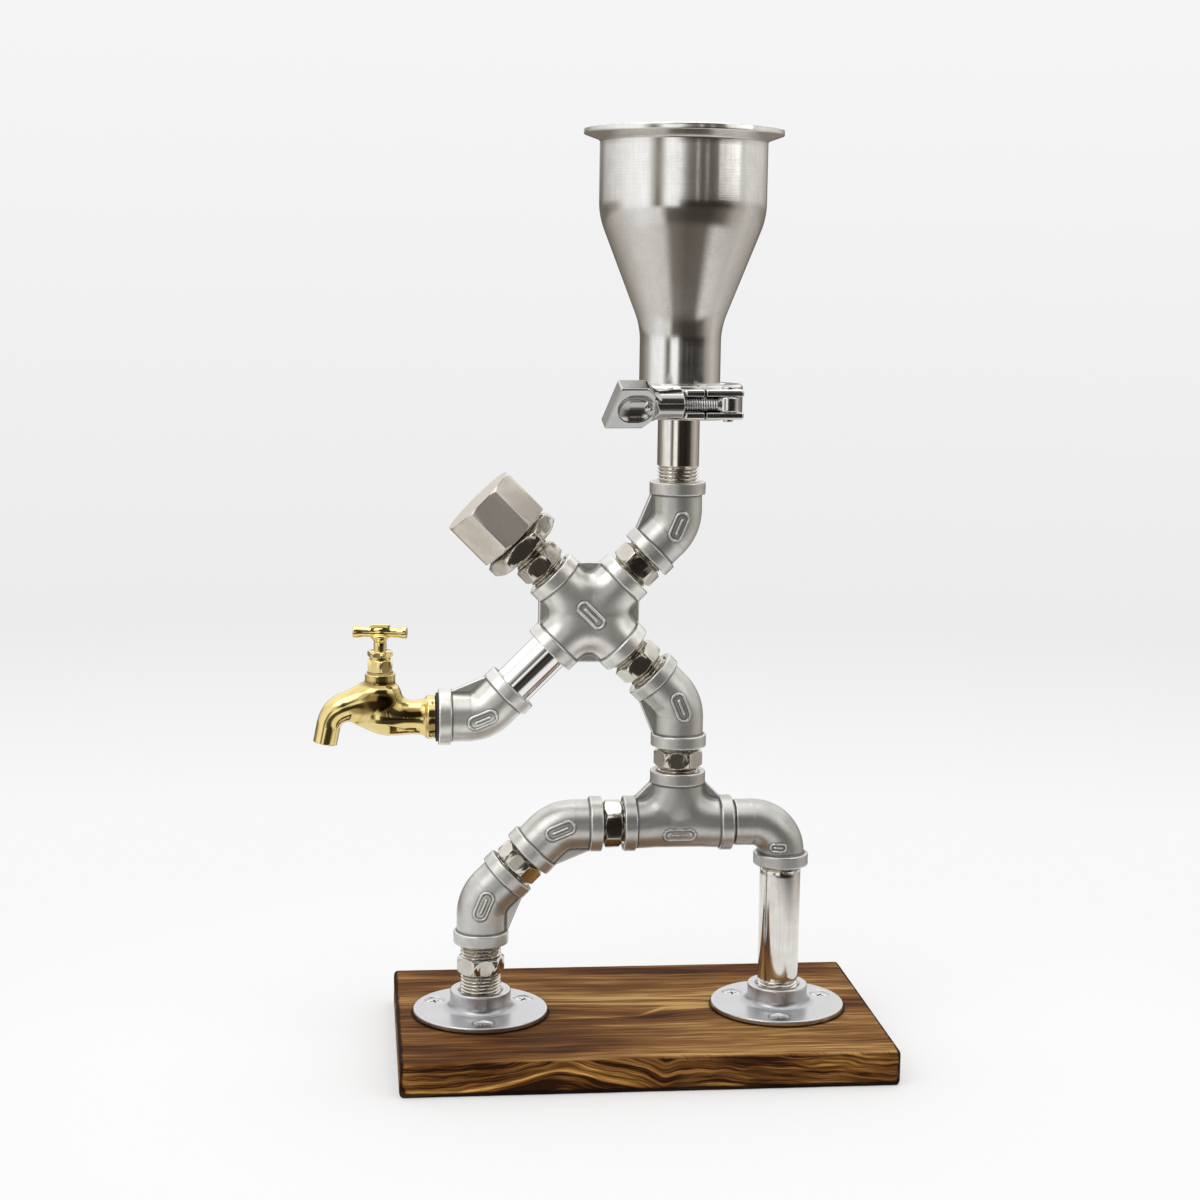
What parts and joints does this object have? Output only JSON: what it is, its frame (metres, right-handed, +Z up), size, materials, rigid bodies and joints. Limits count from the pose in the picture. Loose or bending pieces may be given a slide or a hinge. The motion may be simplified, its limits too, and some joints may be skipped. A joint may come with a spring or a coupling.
{
  "type": "gravity drink dispenser",
  "caption": "Walking figure of pipe fittings on a wooden board that feeds drink from a clamped-on funnel down to a brass tap on its arm.",
  "frame": {"origin": "middle of the board's underside", "axes": "+Z up, +X to the viewer's right along the board (the tap hangs out over -X), +Y away from the viewer"},
  "size_m": [0.2922, 0.15, 0.4719],
  "materials": {
    "toasted_wood": "toasted and oiled pine",
    "screw_steel": "bright zinc",
    "flange_steel": "smooth satin",
    "cast_steel": "bead-blasted casting",
    "nipple_steel": "machined",
    "nickel": "machined, warm nickel",
    "polished_pipe": "mirror polished",
    "funnel_steel": "turned and polished",
    "clamp_steel": "polished casting",
    "seal_rubber": "matt black",
    "washer_fibre": "tan fibre",
    "tap_brass": "polished"
  },
  "bodies": {
    "stand": {"base_board": "toasted_wood", "flange_screws": "screw_steel", "left_flange": "flange_steel", "right_flange": "flange_steel", "shin_elbow": "cast_steel", "thigh_elbow": "cast_steel", "hip_tee": "cast_steel", "street_elbow": "cast_steel", "waist_elbow": "cast_steel", "body_cross": "cast_steel", "upper_elbow": "cast_steel", "wrist_elbow": "cast_steel", "ankle_nipple": "nipple_steel", "knee_nipple": "nipple_steel", "hip_nipple": "nipple_steel", "waist_nipple": "nipple_steel", "chest_nipple": "nipple_steel", "neck_nipple": "nipple_steel", "shoulder_nipple": "nipple_steel", "head_bushing": "nickel", "head_cap": "nickel", "leg_pipe": "polished_pipe", "ferrule_pipe": "polished_pipe", "arm_pipe": "polished_pipe", "funnel": "funnel_steel", "clamp_half_left": "clamp_steel", "clamp_half_right": "clamp_steel", "clamp_hinge_pin": "clamp_steel", "clamp_bolt_pin": "clamp_steel", "leg_stopper": "seal_rubber", "clamp_gasket": "seal_rubber", "tail_washer": "seal_rubber", "gland_packing": "seal_rubber", "bonnet_washer": "washer_fibre", "tap_body": "tap_brass", "tap_bonnet": "tap_brass", "gland_nut": "tap_brass"},
    "valve": {"jumper_valve": "tap_brass", "jumper_washer": "seal_rubber"},
    "handle": {"tap_spindle": "tap_brass", "tap_handle": "tap_brass"},
    "swing_bolt": {"clamp_swing_bolt": "clamp_steel"},
    "wing_nut": {"clamp_wing_nut": "clamp_steel"}
  },
  "joints": [
    {"name": "valve_lift", "type": "slide", "parent": "stand", "child": "valve", "axis": [0, 0, 1], "range_m": [0, 0.004]},
    {"name": "handle_turn", "type": "hinge", "parent": "valve", "child": "handle", "pos_m": [-0.13336, 0, 0.21892], "axis": [0, 0, 1], "range_deg": [0, 720]},
    {"name": "bolt_swing", "type": "hinge", "parent": "stand", "child": "swing_bolt", "pos_m": [0.0363, -0.03761, 0.33755], "axis": [0, 0, 1], "range_deg": [0, 110]},
    {"name": "wing_nut_spin", "type": "hinge", "parent": "swing_bolt", "child": "wing_nut", "pos_m": [0.0363, -0.03761, 0.33755], "axis": [-0.9888, -0.1495, 0], "range_deg": [0, 1080]}
  ],
  "couplings": [
    {"joint": "handle_turn", "follows": "valve_lift", "rad_per_m": 3141.6}
  ]
}
